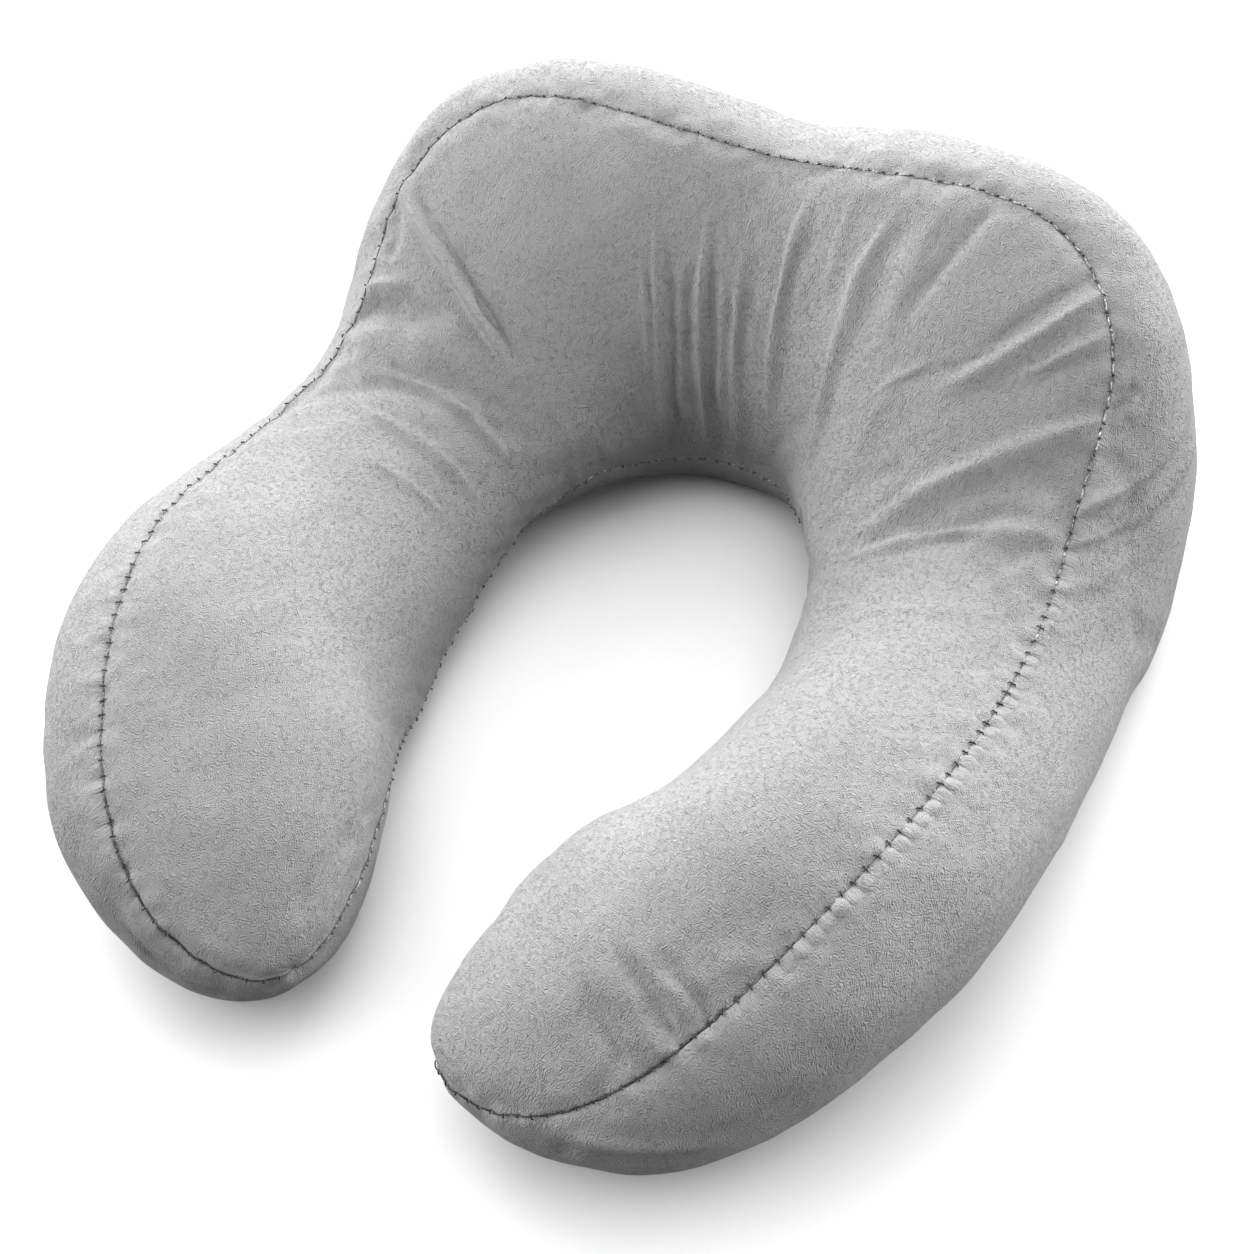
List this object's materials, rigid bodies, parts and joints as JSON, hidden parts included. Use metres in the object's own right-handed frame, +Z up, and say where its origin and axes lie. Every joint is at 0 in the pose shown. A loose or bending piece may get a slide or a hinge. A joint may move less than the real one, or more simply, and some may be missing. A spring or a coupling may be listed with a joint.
{
  "type": "travel pillow",
  "caption": "U-shaped neck cushion in short-pile velour with raised rear lobes, rounded arms and one sewn seam all round.",
  "frame": {"origin": "bottom centre of the box round the whole cushion, on the surface it rests on", "axes": "+Z up; +Y towards the nape, so the mouth of the U opens towards -Y; +X towards the arm on the right when the mouth faces the viewer"},
  "size_m": [0.3004, 0.3178, 0.1231],
  "materials": {
    "velour": "light grey short-pile velour, matt with a soft sheen at grazing angles",
    "thread": "dark grey sewing thread"
  },
  "bodies": {
    "root": {"top_panel": "velour", "under_panel": "velour"}
  },
  "joints": []
}
